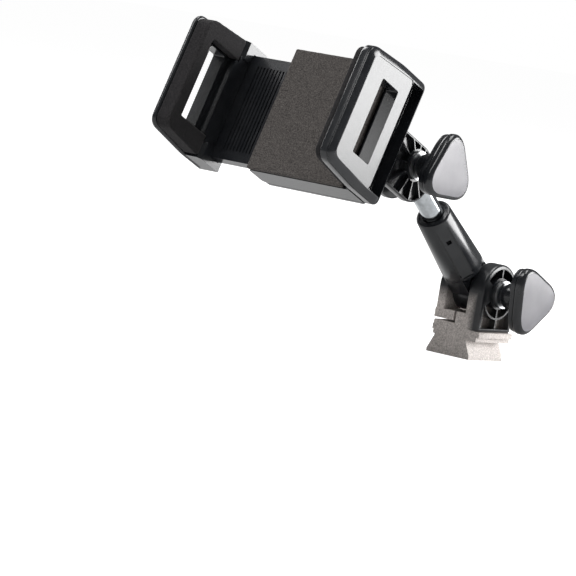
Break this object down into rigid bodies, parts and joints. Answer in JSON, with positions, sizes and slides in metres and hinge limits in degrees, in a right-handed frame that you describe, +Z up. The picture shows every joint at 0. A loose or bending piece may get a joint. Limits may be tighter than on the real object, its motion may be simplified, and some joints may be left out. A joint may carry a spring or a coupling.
{
  "type": "phone mount",
  "caption": "Clamping phone cradle with padded sliding jaws on a two-hinge swivelling arm, tightened by triangular knobs, standing on a dovetail foot.",
  "frame": {"origin": "centre of the dovetail foot's underside", "axes": "+X along both hinge axes towards the clamping knobs, +Z up from the foot, -Y the side that the phone's screen faces"},
  "size_m": [0.1002, 0.1279, 0.1088],
  "materials": {
    "black_plastic": "satin moulded black plastic with a fine texture",
    "foot_plastic": "spark-textured grey plastic",
    "cap_plastic": "satin grey plastic cap",
    "foam": "fine-grained closed-cell foam",
    "steel": "zinc-plated steel",
    "chromed_steel": "bright chrome plating"
  },
  "bodies": {
    "base": {"base_body": "foot_plastic", "fork_cheek": "foot_plastic", "cheek_screw": "steel", "lower_nut": "steel", "lower_washer": "steel"},
    "lower_knob": {"lower_knob": "black_plastic", "lower_knob_cap": "cap_plastic", "lower_clamp_bolt": "steel"},
    "arm": {"arm_sleeve": "black_plastic", "stud_bush": "black_plastic"},
    "stud": {"swivel_stud": "chromed_steel", "stud_snap_ring": "steel"},
    "cradle": {"cradle_body": "black_plastic", "base_pad": "foam", "fixed_jaw": "black_plastic", "fixed_jaw_pad": "foam", "back_cover": "black_plastic", "cover_screw_1": "steel", "cover_screw_2": "steel", "cover_screw_3": "steel", "cover_screw_4": "steel", "pivot_bracket": "black_plastic", "bracket_screw_1": "steel", "bracket_screw_2": "steel", "detent_leaf": "steel", "upper_nut": "steel", "upper_washer": "steel"},
    "upper_knob": {"upper_knob": "black_plastic", "upper_knob_cap": "cap_plastic", "upper_clamp_bolt": "steel"},
    "slide": {"sliding_jaw": "black_plastic", "sliding_jaw_pad": "foam", "slide_plate": "black_plastic", "plate_screw_1": "steel", "plate_screw_2": "steel"}
  },
  "joints": [
    {"name": "lower_tilt", "type": "hinge", "parent": "base", "child": "arm", "pos_m": [0, 0, 0.0253], "axis": [1, 0, 0], "range_deg": [-142, 37]},
    {"name": "stud_swivel", "type": "hinge", "parent": "arm", "child": "stud", "pos_m": [0, 0, 0.0253], "axis": [0, -0.7934, 0.6088], "range_deg": [-180, 180]},
    {"name": "upper_tilt", "type": "hinge", "parent": "stud", "child": "cradle", "pos_m": [0, -0.05665, 0.06877], "axis": [1, 0, 0], "range_deg": [-98, 68]},
    {"name": "jaw_slide", "type": "slide", "parent": "cradle", "child": "slide", "axis": [1, 0, 0], "range_m": [-0.008, 0.0215]},
    {"name": "lower_knob_turn", "type": "hinge", "parent": "base", "child": "lower_knob", "pos_m": [0, 0, 0.0253], "axis": [1, 0, 0], "range_deg": [0, 360]},
    {"name": "upper_knob_turn", "type": "hinge", "parent": "cradle", "child": "upper_knob", "pos_m": [0, -0.05665, 0.06877], "axis": [1, 0, 0], "range_deg": [0, 360]}
  ]
}
